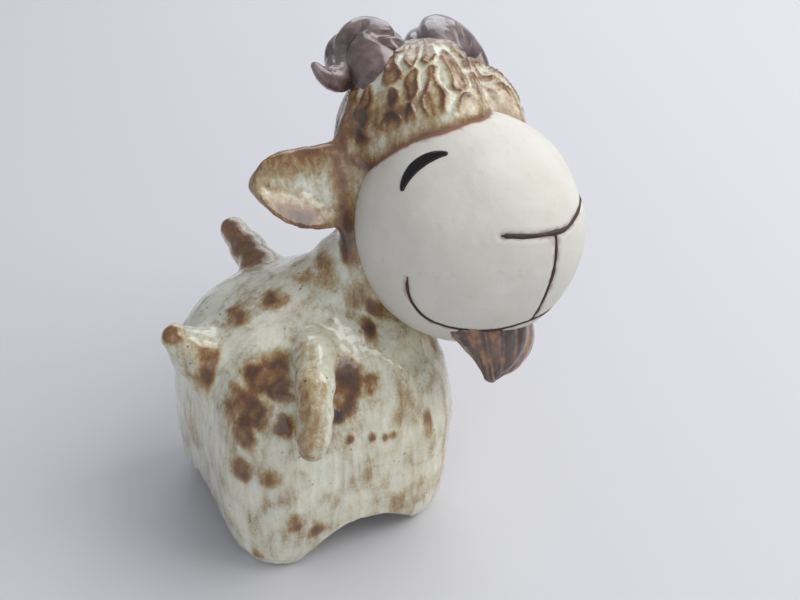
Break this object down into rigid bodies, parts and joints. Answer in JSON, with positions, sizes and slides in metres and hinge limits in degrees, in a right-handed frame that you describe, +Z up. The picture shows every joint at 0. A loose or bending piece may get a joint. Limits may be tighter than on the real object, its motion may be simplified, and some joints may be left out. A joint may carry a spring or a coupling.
{
  "type": "ceramic goat figurine",
  "caption": "Hand-built stoneware goat figurine: square hollow body on corner feet, big turned bisque face, glazed hair, curled horns, ears, arms, tail and beard.",
  "frame": {"origin": "on the plane that the four feet stand on, under the middle of the figure's whole length and width; the body's own centre is 20.7 mm towards the tail and 1.9 mm towards +Y", "axes": "+Z up, +X towards the goat's chest, -X towards its tail, -Y the side that its face is turned to"},
  "size_m": [0.1062, 0.0768, 0.1099],
  "materials": {
    "fleece_glaze": "gloss",
    "bisque": "matte",
    "horn_glaze": "gloss",
    "beard_glaze": "gloss",
    "black_glaze": "gloss",
    "oxide_line": "satin"
  },
  "bodies": {
    "root": {"body_shell": "fleece_glaze", "neck": "fleece_glaze", "tail": "fleece_glaze", "arm_right": "fleece_glaze", "arm_left": "fleece_glaze", "face_shell": "bisque", "hair_cap": "fleece_glaze", "ear_right": "fleece_glaze", "ear_left": "fleece_glaze", "horn_right": "horn_glaze", "horn_left": "horn_glaze", "beard": "beard_glaze", "eye_right": "black_glaze", "eye_left": "black_glaze", "nose_line": "oxide_line", "philtrum_line": "oxide_line", "mouth_line": "oxide_line"}
  },
  "joints": []
}
